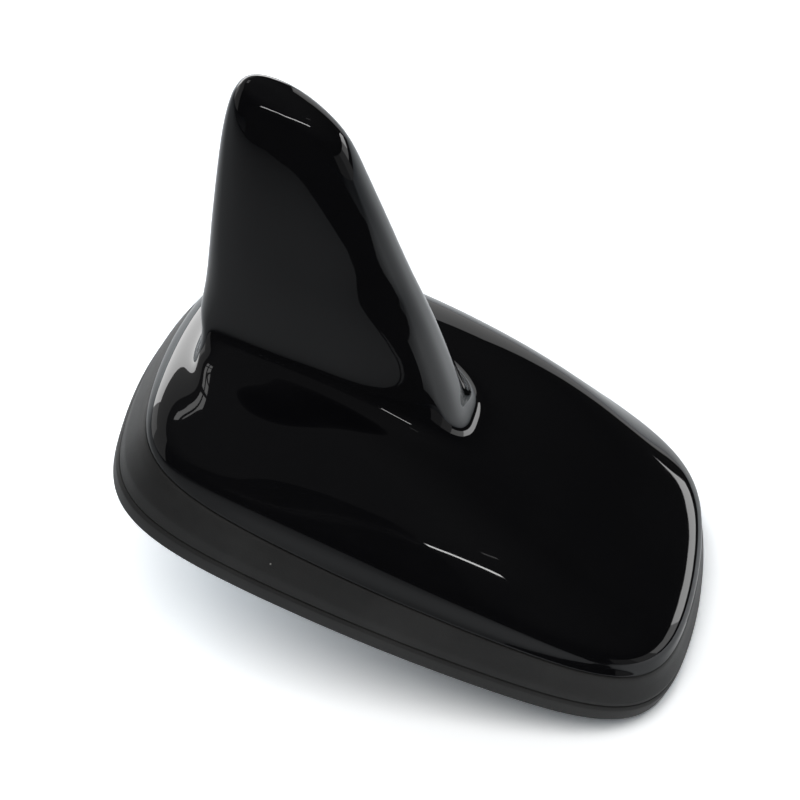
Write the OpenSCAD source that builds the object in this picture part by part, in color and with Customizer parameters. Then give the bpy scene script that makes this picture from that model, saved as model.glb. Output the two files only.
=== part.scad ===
// Shark-fin roof antenna for a car.
// +X points to the front of the car, +Z up, and z = 0 is the roof skin under the seal.
// The origin is on the axis of the fixing thread, where it crosses the roof skin.

/* [Outline] */
// Length over the rubber skirt
base_l = 106.4; // [100:0.2:116]
// Width over the rubber skirt
base_w = 73.4; // [70:0.2:82]
// Height of the fin tip above the roof
tip_h = 69.8; // [64:0.2:76]
// Fullness of the corners in plan, as a superellipse exponent
corner_n = 4.7; // [4.2:0.1:5.4]

/* [Cover] */
// Wall of the moulded cover
cover_wall = 2.4; // [2:0.1:3]
// Height of the seam between cover and skirt, at mid-length
seam_h = 9.7; // [9:0.1:11]
// How much higher the seam is at the rear end than at the front end
seam_drop = 3.9; // [3:0.1:4.4]
// Rise of the dome above the seam, at the fin's root
dome_rise = 12.5; // [11.5:0.1:14]
// Height at which the fin's flanks leave the fillet
root_h = 26.4; // [25.4:0.1:28]
// Thickness of the fin where it leaves the fillet
fin_t = 19; // [17:0.2:22]
// Gap left for the paint line between cover and skirt
seam_gap = 0.2; // [0.1:0.05:0.4]

/* [Rubber skirt] */
// Height of the lip below the crease
lip_h = 3.4; // [2.4:0.1:3.6]
// How far the crease stands in from the lip
crease_in = 0.3; // [0.2:0.05:0.8]
// How far the seam stands in from the lip
seam_in = 2.4; // [1.8:0.1:2.8]
// How much further in the seam stands at the front end
nose_in = 0.2; // [0:0.1:1]
// How much further in the seam stands at the rear end
tail_in = 0.6; // [0:0.1:1]
// Width of the top face that carries the cover's rim
ledge_w = 4.2; // [3.6:0.1:5]
// Thickness of the flange between roof and base plate
flange_t = 1.2; // [1:0.1:1.6]
// Width of that flange, inward of the skirt's inner wall
flange_w = 7; // [5:0.5:9]
// Width of the two sealing grooves under the skirt
groove_w = 1.6; // [1.2:0.1:2]
// Depth of those grooves
groove_deep = 0.5; // [0.3:0.05:0.6]

/* [Base plate] */
// Thickness of the cast plate
plate_t = 2.4; // [2:0.1:3]
// Clearance between the plate's edge and the rubber
plate_gap = 0.3; // [0.2:0.05:0.5]
// Height of the plate's rim wall
rim_h = 3.6; // [3:0.1:4.4]
// Thickness of the plate's rim wall and ribs
rim_t = 1.8; // [1.4:0.1:2.4]
// Length of the boss that goes through the roof
boss_l = 38; // [37:0.5:42]
// Width of the boss
boss_w = 17; // [16:0.5:20]
// How far the boss reaches below the roof skin
boss_drop = 8; // [7:0.5:10]
// Corner radius of the boss
boss_r = 3; // [2:0.5:4]
// Core diameter of the fixing thread
thread_d = 5; // [4.2:0.1:5.6]
// Depth of the fixing thread from the boss's end
thread_depth = 12; // [10:0.5:13]

/* [Circuit board] */
// Height of the standoffs above the plate
standoff_h = 2.8; // [2.4:0.1:3.4]
// Diameter of the standoffs
standoff_d = 5; // [4.6:0.2:6]
// Board thickness
board_t = 1.6; // [1.2:0.1:2]
// Clearance between the board's ends and the cover's posts
board_gap = 0.3; // [0.2:0.1:1]
// Board width
board_w = 46; // [44:1:48]
// Distance of a board screw from the board's edges
screw_edge = 3.2; // [3:0.1:4]
// Shank diameter of the board screws
board_screw_d = 2.2; // [2:0.1:2.6]
// Shank diameter of the cover screws
cover_screw_d = 2.6; // [2.4:0.1:3]
// Head diameter of the cover screws
cover_head_d = 5; // [4.6:0.1:5.4]
// Diameter of the posts that the cover screws bite into
post_d = 6; // [5.6:0.1:6.4]
// Head height of the screws
head_h = 1.4; // [1.2:0.1:1.6]
// Length of the cover screws' shanks
cover_screw_l = 7.4; // [6.4:0.2:8]
// Clearance round a screw shank
screw_gap = 0.15; // [0.1:0.05:0.3]
// Length of the shield can
can_l = 22; // [18:1:24]
// Distance of the shield can from the board's edge and from the patch
can_gap = 1.4; // [1:0.1:2]
// Height of the shield can
can_h = 2.8; // [2.4:0.1:3.2]
// Sheet thickness of the shield can
can_sheet = 0.3; // [0.2:0.05:0.4]

/* [Radiators] */
// Side of the ceramic patch
patch_s = 20; // [18:1:22]
// Height of the ceramic patch
patch_t = 3.6; // [3:0.2:4]
// Side of the patch's silver face
silver_s = 17; // [14:1:18]
// Thickness of the foam pad under the patch
pad_t = 0.8; // [0.6:0.1:1]
// Distance of the patch from the board's front end
patch_edge = 4; // [3:0.1:5]
// Thickness of the upright fin board
fin_board_t = 1; // [0.8:0.1:1.2]
// Thickness of the copper on the boards
copper_t = 0.15; // [0.1:0.05:0.2]
// Width of the copper track on the fin board
track_w = 1.6; // [1.2:0.1:2]
// Distance from one run of the track to the next
track_pitch = 4; // [3.6:0.2:4.6]
// Clearance between the fin board and the fin's inside
fin_gap = 1.2; // [1:0.1:2]
// Length of the clamp at the fin board's foot
clamp_l = 20; // [18:1:22]
// Width of that clamp
clamp_w = 7; // [6:0.5:8]
// Height of that clamp
clamp_h = 7; // [6:0.5:8]
// Clearance between fin board and clamp
clamp_gap = 0.1; // [0.05:0.05:0.2]
// Outside diameter of the loading coil
coil_d = 9; // [8:0.5:10]
// Height of the loading coil
coil_h = 8; // [6:0.5:9]
// Wire diameter of the loading coil
wire_d = 1; // [0.8:0.1:1.2]

/* [Connectors] */
// Side of a connector housing
plug_s = 8.8; // [8.4:0.1:9]
// Distance of a connector from the fixing thread
plug_x = 11.4; // [11:0.1:12]
// Diameter of the outer contact
shell_d = 5; // [4.4:0.1:5.4]
// Wall of the outer contact
shell_wall = 0.4; // [0.3:0.05:0.5]
// Diameter of the centre contact
pin_d = 1; // [0.8:0.1:1.2]
// Depth of the socket round the outer contact
socket_deep = 8; // [7:0.2:8.6]
// Wall of a connector housing
socket_wall = 0.8; // [0.6:0.05:0.9]

/* [Hidden] */
$fn = 48;
seg = 64;        // points round a loft ring
steps = 2;       // rings between two stations
half_l = base_l / 2;
half_w = base_w / 2;
plate_z = flange_t;
plate_top = plate_z + plate_t;
board_z = plate_top + standoff_h;
board_top = board_z + board_t;
seam_slope = seam_drop / base_l;

function seam_z(x) = seam_h - seam_slope * x;

// One point of a ring: st = [rear x, front x, half width, exponent, narrowing, z rear, z mid, z front]
function round_r(a, n) =
    pow(pow(abs(cos(a)), n) + pow(abs(sin(a)), n), -1 / n)
    * (1 + max(0, 0.011 * (n - 3)) * (cos(4 * a) - 1));
// The points crowd towards the corners where a ring is nearly a rectangle
function ring_pt(st, i) =
    let (t = 360 * i / seg, a = t + 2.4 * (st[3] - 2.4) * sin(4 * t), r = round_r(a, st[3]), u = r * cos(a))
    [(st[0] + st[1]) / 2 + (st[1] - st[0]) / 2 * u,
     st[2] * r * sin(a) * (1 - st[4] * u),
     st[6] + (st[7] - st[5]) / 2 * u + ((st[7] + st[5]) / 2 - st[6]) * u * u];
function ring(st) = [for (i = [0 : seg - 1]) ring_pt(st, i)];

// Smooth stations between the given ones, by Catmull-Rom
function between(p, q, r, s, u) =
    0.5 * (2 * q + (r - p) * u + (2 * p - 5 * q + 4 * r - s) * u * u + (3 * q - p - 3 * r + s) * u * u * u);
function smooth(list, n) = concat(
    [for (i = [0 : len(list) - 2], j = [0 : n - 1])
        between(list[max(i - 1, 0)], list[i], list[i + 1], list[min(i + 2, len(list) - 1)], j / n)],
    [list[len(list) - 1]]);

// Plan outline of the base, drawn in by a distance, at a level that may slope
function plan(inset, z, slope = 0) =
    let (share = min(1, inset / seam_in),
         rear = inset - half_l + tail_in * share, front = half_l - inset - nose_in * share)
    [rear, front, half_w - inset, corner_n, 0,
     z - slope * rear, z - slope * (rear + front) / 2, z - slope * front];

// A dome station: shares of the half length, the half width and the dome's rise
function dome_at(rear, front, side, n, narrow, zr, zm, zf) =
    [-rear * half_l, front * half_l, side * half_w, n, narrow,
     seam_z(-half_l) + zr * dome_rise, seam_h + zm * dome_rise, seam_z(half_l) + zf * dome_rise];
// A fin station: shares of the half length, the fin's thickness and its height above the root
function fin_at(rear, front, side, n, narrow, up) =
    let (z = root_h + up * (tip_h - root_h))
    [-rear * half_l, front * half_l, side * fin_t / 2, n, narrow, z, z, z];

rim = plan(seam_in, seam_h + seam_gap, seam_slope);
STATIONS = [
    rim,
    dome_at(0.943, 0.944, 0.920, 4.4, 0.015, 0.115, 0.165, 0.10),
    dome_at(0.917, 0.925, 0.900, 4.0, 0.03, 0.32, 0.39, 0.19),
    dome_at(0.877, 0.850, 0.840, 3.5, 0.04, 0.49, 0.64, 0.30),
    dome_at(0.851, 0.727, 0.739, 3.2, 0.04, 0.61, 0.94, 0.44),
    dome_at(0.848, 0.551, 0.583, 3.2, 0.04, 0.70, 1.12, 0.66),
    dome_at(0.855, 0.339, 0.440, 3.1, 0.04, 0.77, 1.19, 0.92),
    dome_at(0.869, 0.163, 0.335, 3.0, 0.06, 0.91, 1.24, 1.145),
    dome_at(0.888, 0.049, 0.271, 2.9, 0.08, 1.10, 1.35, 1.45),
    fin_at(0.900, -0.073, 0.95, 2.8, 0.10, 0.10),
    fin_at(0.925, -0.198, 0.87, 2.7, 0.10, 0.27),
    fin_at(0.950, -0.312, 0.79, 2.6, 0.10, 0.43),
    fin_at(0.974, -0.428, 0.72, 2.5, 0.08, 0.60),
    fin_at(0.993, -0.535, 0.64, 2.4, 0.05, 0.755),
    fin_at(0.999, -0.609, 0.56, 2.3, 0.03, 0.86),
    fin_at(0.995, -0.679, 0.47, 2.2, 0, 0.925),
    fin_at(0.977, -0.770, 0.33, 2.1, 0, 0.975),
    fin_at(0.945, -0.850, 0.15, 2, 0, 0.997),
    fin_at(0.920, -0.891, 0.04, 2, 0, 1)
];
LOFT = smooth(STATIONS, steps);
INNER_END = 14 * steps;  // the hollow stops here, below the tip

function at(k, i) = ring_pt(LOFT[k], i);
function unit(v) = v / norm(v);
// Point of the inside face: one wall thickness in along the surface normal, and never below the rim
function inside(k, i) =
    let (up = at(min(k + 1, len(LOFT) - 1), i) - at(max(k - 1, 0), i),
         along = at(k, i + 0.5) - at(k, i - 0.5),
         nrm = unit(cross(along, up)),
         p = at(k, i) - cover_wall * (k == 0 ? unit([nrm[0], nrm[1], 0]) : nrm))
    [p[0], p[1], max(p[2], seam_z(p[0]) + seam_gap + 0.05 * k)];

// Closed solid from a stack of rings, each a list of seg points
function flat(lists) = [for (l = lists) for (p = l) p];
function strip(a, b) = [for (i = [0 : seg - 1]) let (j = (i + 1) % seg)
    each [[a * seg + i, b * seg + j, a * seg + j], [a * seg + i, b * seg + i, b * seg + j]]];
module stack(rings, closed = false) {
    n = len(rings);
    sides = [for (k = [0 : n - 2]) each strip(k, k + 1)];
    ends = closed ? strip(n - 1, 0)
        : [[for (i = [0 : seg - 1]) i], [for (i = [seg - 1 : -1 : 0]) (n - 1) * seg + i]];
    polyhedron(points = flat(rings), faces = concat(sides, ends), convexity = 8);
}

// Flat outline of the base, drawn in by a distance
module outline(inset) polygon([for (p = ring(plan(inset, 0))) [p[0], p[1]]]);

// Rounded rectangle centred on the origin
module round_rect(l, w, r) {
    square([l, w - 2 * r], center = true);
    square([l - 2 * r, w], center = true);
    for (sx = [-1, 1], sy = [-1, 1]) translate([sx * (l / 2 - r), sy * (w / 2 - r)]) circle(r);
}
module mirrored_x() for (s = [0, 1]) mirror([s, 0, 0]) children();
module mirrored_y() for (s = [0, 1]) mirror([0, s, 0]) children();

// Screws, heads up: shank down from z = 0
module screw(d, l, head_d, head_h) {
    translate([0, 0, -l]) cylinder(d = d, h = l);
    difference() {
        cylinder(d1 = head_d, d2 = head_d * 0.8, h = head_h);
        translate([0, 0, head_h * 0.4]) cylinder(d = head_d * 0.42, h = head_h, $fn = 6);
    }
}

// Places that two pieces share
inner_in = seam_in + ledge_w;          // the rubber's inner wall
flange_in = inner_in + flange_w;       // the flange's inner edge
plate_in = inner_in + plate_gap;       // the plate's edge
head_clear = 1.2;
post_x = half_l - flange_in - max(nose_in, tail_in) - cover_head_d / 2 - head_clear;
post_y = 11;
board_l = 2 * (post_x - post_d / 2 - board_gap);
patch_x = board_l / 2 - patch_edge - patch_s / 2;
board_screw_x = board_l / 2 - screw_edge;
board_screw_y = board_w / 2 - screw_edge;
tower_d = thread_d + 5;
tower_top = board_z - 0.8;
front_post_top = seam_z(post_x) + 0.36 * dome_rise;
rear_post_top = seam_z(-post_x) + 0.95 * dome_rise;
head_seat_z = plate_z + plate_t / 2;   // where the cover screws' heads bear
rib_h = plate_t / 2 + rim_t;           // the ribs start inside the plate
rib_z = plate_top + rim_t - rib_h / 2;
module at_posts() for (x = [-post_x, post_x], y = [-post_y, post_y]) translate([x, y, 0]) children();
module at_board_screws() for (x = [-board_screw_x, board_screw_x], y = [-board_screw_y, board_screw_y])
    translate([x, y, 0]) children();

// Moulded cover: dome, fillet and fin in one hollow shell, with four screw posts inside
module cover() color([0.02, 0.02, 0.022]) {
    outer = [for (st = LOFT) ring(st)];
    inner = [for (k = [0 : INNER_END]) [for (i = [0 : seg - 1]) inside(k, i)]];
    shell(outer, inner);
    mirrored_y() {
        cover_post(post_x, front_post_top);
        cover_post(-post_x, rear_post_top);
    }
}
module shell(outer, inner) {
    n = len(outer);
    far = n + len(inner) - 1;
    sides = [for (k = [0 : n - 2]) each strip(k, k + 1)];
    walls = [for (k = [n : far - 1], f = strip(k, k + 1)) [f[0], f[2], f[1]]];
    caps = [[for (i = [seg - 1 : -1 : 0]) (n - 1) * seg + i], [for (i = [0 : seg - 1]) far * seg + i]];
    polyhedron(points = flat(concat(outer, inner)), faces = concat(sides, walls, strip(n, 0), caps),
        convexity = 10);
}
module cover_post(x, top) translate([x, post_y, plate_top]) difference() {
    cylinder(d = post_d, h = top - plate_top);
    depth = cover_screw_l + head_seat_z - plate_top + 0.5;
    cylinder(d = cover_screw_d + 2 * screw_gap, h = 2 * depth, center = true);
}

// Rubber skirt: lip, crease, flared wall, ledge for the cover and flange under the base plate
module gasket() color([0.09, 0.09, 0.09]) stack([
    ring(plan(0.5, 0)),
    ring(plan(0, 0.5)),
    ring(plan(0, lip_h - 0.4)),
    ring(plan(0.35, lip_h)),
    ring(plan(crease_in, lip_h + 0.1)),
    ring(plan(crease_in + 0.1, lip_h + 0.6, seam_slope * 0.1)),
    ring(plan(crease_in + 0.3, seam_h * 0.56, seam_slope * 0.5)),
    ring(plan(seam_in - 0.8, seam_h - 1.6, seam_slope)),
    ring(plan(seam_in - 0.25, seam_h - 0.35, seam_slope)),
    ring(plan(seam_in, seam_h, seam_slope)),
    ring(plan(inner_in, seam_h, seam_slope)),
    ring(plan(inner_in, flange_t)),
    ring(plan(flange_in, flange_t)),
    ring(plan(flange_in, 0)),
    each groove((inner_in + flange_in) / 2),
    each groove(inner_in * 0.6)
], closed = true);
// Rings of a sealing groove in the face on the roof, from its inner edge to its outer edge
function groove(middle) = [
    ring(plan(middle + groove_w / 2, 0)),
    ring(plan(middle + groove_w / 2 - 0.3, groove_deep)),
    ring(plan(middle - groove_w / 2 + 0.3, groove_deep)),
    ring(plan(middle - groove_w / 2, 0))
];

// Cast base plate with rim wall, ribs, standoffs, thread tower and the boss through the roof
module base_plate() color([0.62, 0.63, 0.64]) difference() {
    union() {
        translate([0, 0, plate_z]) linear_extrude(plate_t) outline(plate_in);
        translate([0, 0, plate_top]) linear_extrude(rim_h) difference() {
            outline(plate_in);
            outline(plate_in + rim_t);
        }
        translate([0, 0, -boss_drop]) linear_extrude(boss_drop + plate_top)
            round_rect(boss_l, boss_w, boss_r);
        cylinder(d = tower_d, h = tower_top);
        at_board_screws() translate([0, 0, plate_z]) cylinder(d = standoff_d, h = board_z - plate_z);
        mirrored_y() translate([0, board_screw_y, rib_z])
            cube([2 * board_screw_x, rim_t, rib_h], center = true);
        mirrored_x() translate([board_screw_x, 0, rib_z])
            cube([rim_t, 2 * board_screw_y, rib_h], center = true);
    }
    mirrored_x() translate([plug_x, 0, 0])
        cube([plug_s + 2 * clamp_gap, plug_s + 2 * clamp_gap, 40], center = true);
    translate([0, 0, -boss_drop]) cylinder(d = thread_d, h = thread_depth);
    at_board_screws() translate([0, 0, plate_top]) cylinder(d = board_screw_d + 2 * screw_gap, h = 20);
    at_posts() {
        cylinder(d = cover_screw_d + 2 * screw_gap, h = 20);
        cylinder(d = cover_head_d + 2 * screw_gap, h = head_seat_z);
        translate([0, 0, plate_top]) cylinder(d = post_d + 2 * screw_gap, h = 20);
    }
    mirrored_y() translate([0, boss_w / 2, clip_tab_z])
        cube([clip_w + 0.4, 2 * clip_tab, clip_t + 0.2], center = true);
}

// Inner seal that lies round the boss
module boss_seal() color([0.06, 0.06, 0.06]) linear_extrude(plate_z) difference() {
    round_rect(boss_l + 8, boss_w + 8, boss_r + 4);
    round_rect(boss_l + 0.6, boss_w + 0.6, boss_r + 0.3);
}

// Sprung steel clips that catch the edge of the roof opening
clip_w = 7;
clip_t = 0.5;
clip_tab = 1.6;
clip_tab_z = -2.6;
clip_out = 2.6;
module retaining_clips() color([0.7, 0.71, 0.72]) mirrored_y()
    translate([-clip_w / 2, boss_w / 2 + 0.15, 0]) rotate([90, 0, 90]) linear_extrude(clip_w) polygon([
        [0, clip_tab_z + clip_t / 2], [-clip_tab + 0.4, clip_tab_z + clip_t / 2],
        [-clip_tab + 0.4, clip_tab_z - clip_t / 2], [0, clip_tab_z - clip_t / 2],
        [0, -boss_drop], [clip_t * 2, -boss_drop],
        [clip_out, clip_tab_z - 0.4], [clip_out * 0.6, clip_tab_z + 1.2],
        [clip_out * 0.6 - clip_t, clip_tab_z + 1], [clip_out - clip_t * 1.4, clip_tab_z - 0.4],
        [clip_t + 0.3, -boss_drop + clip_t], [clip_t, -boss_drop + clip_t],
        [clip_t, clip_tab_z + clip_t / 2]
    ]);

// Coaxial connectors, one on each side of the fixing thread
plug_low = -boss_drop + 0.6;
shell_in = 1.4;       // how far the outer contact stands back from the mouth
pin_in = 2.4;         // the same for the centre contact
insulator_in = 5.4;   // and for the insulator's face
module per_connector() mirrored_x() translate([plug_x, 0, plug_low]) children();
module connector_housings() color([0.85, 0.8, 0.62]) per_connector() difference() {
    translate([0, 0, (board_z - plug_low) / 2])
        cube([plug_s, plug_s, board_z - plug_low - 0.02], center = true);
    cube([plug_s - 2 * socket_wall, plug_s - 2 * socket_wall, 2 * socket_deep], center = true);
    cylinder(d = shell_d + 0.1, h = 40);
    translate([0, plug_s / 2, 0]) cube([2, 2, 2 * socket_deep - 3], center = true);
}
module connector_shells() color([0.82, 0.66, 0.35]) per_connector() translate([0, 0, shell_in]) difference() {
    cylinder(d = shell_d, h = board_z - plug_low - shell_in - 0.2);
    translate([0, 0, -1]) cylinder(d = shell_d - 2 * shell_wall, h = 40);
}
module connector_insulators() color([0.93, 0.93, 0.9]) per_connector()
    translate([0, 0, insulator_in]) difference() {
        cylinder(d = shell_d - 2 * shell_wall - 0.06, h = board_z - plug_low - insulator_in - 0.2);
        translate([0, 0, -1]) cylinder(d = pin_d + 0.06, h = 40);
    }
module connector_pins() color([0.85, 0.7, 0.3]) per_connector() translate([0, 0, pin_in]) {
    cylinder(d = pin_d, h = board_z - plug_low - pin_in - 0.2);
    sphere(d = pin_d);
}

// Main circuit board on the standoffs
module main_board() color([0.06, 0.3, 0.14]) translate([0, 0, board_z])
    linear_extrude(board_t) difference() {
        square([board_l, board_w], center = true);
        at_board_screws() circle(d = board_screw_d + 2 * screw_gap);
        for (x = clamp_pegs) translate([x, 0]) circle(d = peg_d + 2 * clamp_gap);
        translate([patch_x, 0]) circle(d = pin_d + 0.4);
    }
CHIPS = [[-2, -16, 5, 5, 1], [7, -17.5, 4, 6, 1.5], [14, -16.5, 3, 3, 0.9], [19, -16.5, 3, 3, 0.9],
    [-11, -17, 7, 4, 1.6], [-11.5, 8, 3.2, 2.6, 1.1], [2, 8, 3.2, 1.6, 0.8]];
module board_chips() color([0.05, 0.05, 0.055]) for (c = CHIPS)
    translate([c[0] - c[2] / 2, c[1] - c[3] / 2, board_top]) cube([c[2], c[3], c[4]]);
can_x = 5;
can_w = (board_w - patch_s) / 2 - 2 * can_gap;
vent_d = 0.9;
vent_pitch = 2;
module shield_can() color([0.75, 0.76, 0.77])
    translate([can_x, board_w / 2 - can_gap - can_w / 2, board_top]) difference() {
        can_box(0);
        translate([0, 0, -can_sheet]) can_box(can_sheet);
        for (i = [-4 : 4], j = [-1 : 1]) translate([i, j, 0] * vent_pitch)
            cylinder(d = vent_d, h = 2 * can_h, $fn = 16);
    }
module can_box(inset) translate([0, 0, can_h / 2])
    cube([can_l - 2 * inset, can_w - 2 * inset, can_h], center = true);
module board_screws() color([0.72, 0.73, 0.75]) at_board_screws() translate([0, 0, board_top])
    screw(board_screw_d, board_top - plate_top - 0.4, board_screw_d * 1.9, head_h);
module cover_screws() color([0.2, 0.2, 0.21]) at_posts() translate([0, 0, head_seat_z]) rotate([180, 0, 0])
    screw(cover_screw_d, cover_screw_l, cover_head_d, head_h);

// Satellite navigation patch on the front half of the board
patch_z = board_top + pad_t;
module patch_pad() color([0.12, 0.12, 0.13]) translate([patch_x, 0, board_top])
    linear_extrude(pad_t) difference() {
        square(patch_s - 1, center = true);
        circle(d = pin_d + 2);
    }
module patch_ceramic() color([0.86, 0.8, 0.68]) translate([patch_x, 0, patch_z])
    linear_extrude(patch_t) difference() {
        round_rect(patch_s, patch_s, 1);
        circle(d = pin_d + 0.2);
    }
module patch_electrode() color([0.83, 0.83, 0.82]) translate([patch_x, 0, patch_z + patch_t])
    linear_extrude(copper_t) difference() {
        square(silver_s, center = true);
        for (s = [-1, 1]) translate([s * silver_s / 2, s * silver_s / 2]) rotate(45) square(3, center = true);
        circle(d = pin_d + 0.2);
    }
module patch_pin() color([0.8, 0.8, 0.8]) translate([patch_x, 0, board_z - 0.6]) {
    cylinder(d = pin_d, h = patch_z + patch_t - board_z + 0.6 + copper_t);
    translate([0, 0, patch_z + patch_t - board_z + 0.6 + copper_t]) cylinder(d = 2.4, h = 0.4);
}

// Upright board in the fin. Its edges follow the fin's inside, one gap away
clamp_floor = 1;
clamp_x0 = -board_l / 2 + 1.5;
peg_d = 2;
clamp_pegs = [clamp_x0 + 3, clamp_x0 + clamp_l - 3];
fin_foot_z = board_top + clamp_floor;
FIN_ROWS = [for (k = [9 : 13]) STATIONS[k]];
module fin_face() polygon(concat(
    [[clamp_x0 + 0.5, fin_foot_z], [clamp_x0 + clamp_l - 0.5, fin_foot_z]],
    [[clamp_x0 + clamp_l + 2, root_h - 3]],
    [for (st = FIN_ROWS) [st[1] - 1.5 * cover_wall - fin_gap, st[5]]],
    [for (i = [len(FIN_ROWS) - 1 : -1 : 0]) [FIN_ROWS[i][0] + cover_wall + fin_gap, FIN_ROWS[i][5]]],
    [[clamp_x0 + 0.5, root_h - 3]]));
module fin_board() color([0.08, 0.32, 0.16]) rotate([90, 0, 0]) translate([0, 0, -fin_board_t / 2])
    linear_extrude(fin_board_t) fin_face();
// Folded copper track that fills the upper part of the fin board
track_z = root_h + 3;
track_runs = floor((FIN_ROWS[len(FIN_ROWS) - 1][5] - track_z) / track_pitch) + 1;
module fin_trace() color([0.8, 0.45, 0.22]) translate([0, -fin_board_t / 2, 0]) rotate([90, 0, 0])
    linear_extrude(copper_t) intersection() {
        offset(delta = -track_w / 2) fin_face();
        union() {
            for (k = [0 : track_runs - 1]) translate([-half_l, track_z + track_pitch * k])
                square([base_l, track_w]);
            for (k = [0 : track_runs - 2]) translate([turn_x(k), track_z + track_pitch * k])
                square([track_w, track_pitch + track_w]);
            translate([clamp_x0 + clamp_l - 6, fin_foot_z + clamp_h])
                square([track_w, track_z + track_w - fin_foot_z - clamp_h]);
        }
    }
// Where run k of the track turns up into the next one, in front and at the rear by turns
function turn_x(k) = let (z = track_z + track_pitch * (k + 0.5))
    k % 2 == 0 ? fin_front(z) - 5 * track_w : fin_rear(z) + 1.25 * track_w;
function fin_front(z) = lookup(z, [for (st = FIN_ROWS) [st[5], st[1]]]);
function fin_rear(z) = lookup(z, [for (st = FIN_ROWS) [st[5], st[0]]]) + cover_wall + fin_gap;
module fin_clamp() color([0.14, 0.14, 0.15]) translate([clamp_x0, 0, board_top]) {
    difference() {
        translate([0, -clamp_w / 2, 0]) cube([clamp_l, clamp_w, clamp_h]);
        translate([-1, -fin_board_t / 2 - clamp_gap, clamp_floor])
            cube([clamp_l + 2, fin_board_t + 2 * clamp_gap, clamp_h]);
        mirrored_y() translate([clamp_l / 2, clamp_w / 2, clamp_h])
            cube([clamp_l - 5, clamp_w - 4, 2 * clamp_h - 4], center = true);
    }
    for (x = clamp_pegs) translate([x - clamp_x0, 0, -board_t]) cylinder(d = peg_d, h = board_t + 0.5);
}

// Loading coil beside the fin's foot, as far from the board's edge as from the clamp
coil_x = clamp_x0 + 12;
coil_y = (board_w + clamp_w) / 4;
former_t = 1;
bobbin_d = coil_d - 3 * wire_d - 0.1;
module coil_former() color([0.9, 0.88, 0.8]) translate([coil_x, coil_y, board_top]) difference() {
    union() {
        cylinder(d = coil_d, h = former_t);
        cylinder(d = bobbin_d, h = coil_h);
        translate([0, 0, coil_h - former_t]) cylinder(d = coil_d, h = former_t);
    }
    translate([0, 0, -1]) cylinder(d = bobbin_d / 2, h = coil_h + 2);
}
module coil_winding() color([0.75, 0.38, 0.16]) translate([coil_x, coil_y, board_top + former_t + 0.1]) {
    turns = floor((coil_h - 2 * former_t - 0.2) / wire_d);
    r = coil_d / 2 - wire_d;
    rotate_extrude() {
        translate([r - wire_d * 0.4, 0]) square([wire_d * 0.4, turns * wire_d]);
        for (k = [0 : turns - 1]) translate([r, (k + 0.5) * wire_d]) circle(d = wire_d * 0.98);
    }
}

// Leaf spring that joins the fin board's track to the main board
module contact_spring() color([0.85, 0.72, 0.4]) translate([clamp_x0 + clamp_l + 1.2, 1.5, board_top])
    rotate([90, 0, 0]) linear_extrude(3) difference() {
        union() {
            square([5, 0.3]);
            square([0.3, 5.2]);
            translate([0.3, 5.2]) circle(r = 0.5, $fn = 24);
        }
    }

cover();
gasket();
base_plate();
boss_seal();
retaining_clips();
connector_housings();
connector_shells();
connector_insulators();
connector_pins();
main_board();
board_chips();
shield_can();
board_screws();
cover_screws();
patch_pad();
patch_ceramic();
patch_electrode();
patch_pin();
fin_board();
fin_trace();
fin_clamp();
coil_former();
coil_winding();
contact_spring();
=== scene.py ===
"""Shark-fin roof antenna: a gloss black cover on a matte rubber skirt, over its roof fixings.

Lengths are in metres. +X points to the front of the car, +Z up, and z = 0 is the roof skin.
"""

import math

import bmesh
import bpy
import numpy as np
from mathutils import Matrix, Vector


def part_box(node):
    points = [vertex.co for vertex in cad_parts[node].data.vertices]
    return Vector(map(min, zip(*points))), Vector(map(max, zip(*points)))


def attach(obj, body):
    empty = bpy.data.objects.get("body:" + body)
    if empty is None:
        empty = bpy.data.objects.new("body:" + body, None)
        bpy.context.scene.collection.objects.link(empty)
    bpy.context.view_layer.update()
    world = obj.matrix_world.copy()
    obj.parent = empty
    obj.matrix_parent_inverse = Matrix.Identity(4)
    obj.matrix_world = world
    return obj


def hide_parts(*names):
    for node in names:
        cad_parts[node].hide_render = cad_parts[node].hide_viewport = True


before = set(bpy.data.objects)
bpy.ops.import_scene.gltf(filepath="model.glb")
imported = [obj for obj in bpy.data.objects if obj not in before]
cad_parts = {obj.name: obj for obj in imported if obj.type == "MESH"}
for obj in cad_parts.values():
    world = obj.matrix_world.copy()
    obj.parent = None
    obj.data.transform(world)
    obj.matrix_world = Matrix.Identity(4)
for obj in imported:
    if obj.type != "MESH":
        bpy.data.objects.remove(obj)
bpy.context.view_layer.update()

bl_info = {
    "name": "Shark-fin roof antenna",
    "version": (1, 0, 0),
    "blender": (4, 5, 0),
    "location": "View3D > Sidebar > Roof antenna",
    "description": "Builds the cover, the rubber skirt and the finishes of a roof antenna",
    "category": "Object",
}

MM = 0.001

# Lofts
RING = 96                   # points round the cover and the skirt
SPANS = 3                   # rings from one cover station to the next
CORNER_START = 2.4          # fullness from which a ring's points draw to its corners
CORNER_SPREAD = 2.4         # degrees that they draw, for each unit of fullness over that
EASE_START = 3              # fullness from which a ring's corners are eased
CORNER_EASE = 0.011         # share that they are eased, for each unit of fullness over that
HOLLOW_STATIONS = 14        # cover stations that the hollow follows, up into the fin
HOLLOW_STEP = 0.05 * MM     # least rise from one inner ring to the next
RIM_ROUNDING = 0.25 * MM    # rounding of the cover's rim
POST_STEPS = 32             # faces round a screw post
MERGE = 1e-6                # distance at which points become one

# Fixing thread
THREAD_STEPS = 28           # steps in a turn
THREAD_START = 0.6 * MM     # distance of its first turn from the boss's face
THREAD_ENDS = 1.6 * MM      # depth of the bore that has no ridge
THREAD_RIDGE = ((0.01, -0.34), (-0.3, -0.08), (-0.3, 0.08), (0.01, 0.34))  # mm, share of pitch

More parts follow.
